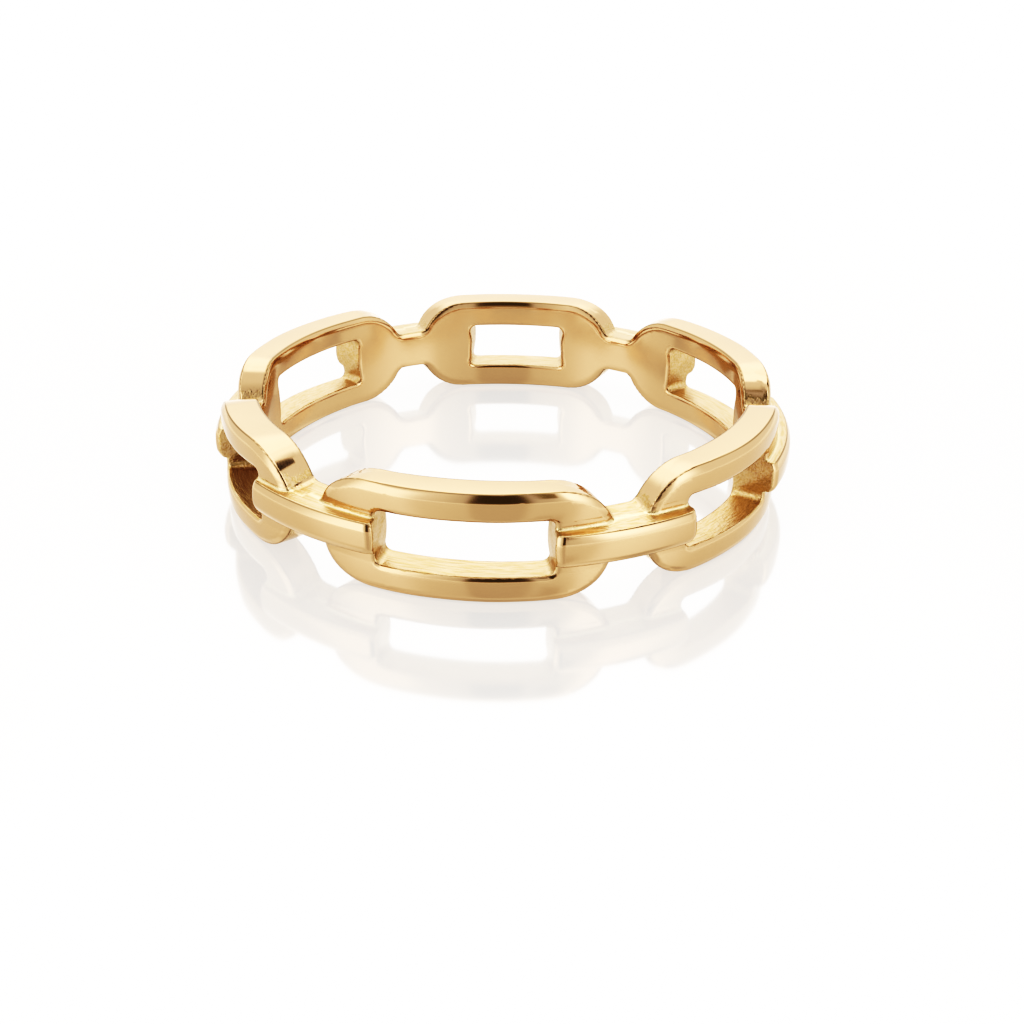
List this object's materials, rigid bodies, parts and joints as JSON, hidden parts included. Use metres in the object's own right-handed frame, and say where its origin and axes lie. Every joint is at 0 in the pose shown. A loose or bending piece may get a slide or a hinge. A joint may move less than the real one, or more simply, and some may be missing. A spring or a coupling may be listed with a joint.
{
  "type": "chain link finger ring",
  "caption": "Finger ring cast as a band of long flat chain links, each with a window, joined end to end by short proud bars.",
  "frame": {"origin": "centre of the finger hole, on the surface that the ring lies on", "axes": "+Z along the finger hole's axis, upwards as the ring lies on its side; -Y towards the middle of the front link, +Y across the back link, which has the shorter window"},
  "size_m": [0.0206, 0.0201, 0.0037],
  "materials": {
    "polished_gold": "polished yellow gold, left as cast inside the windows and between the links"
  },
  "bodies": {
    "root": {"chain_band": "polished_gold"}
  },
  "joints": []
}
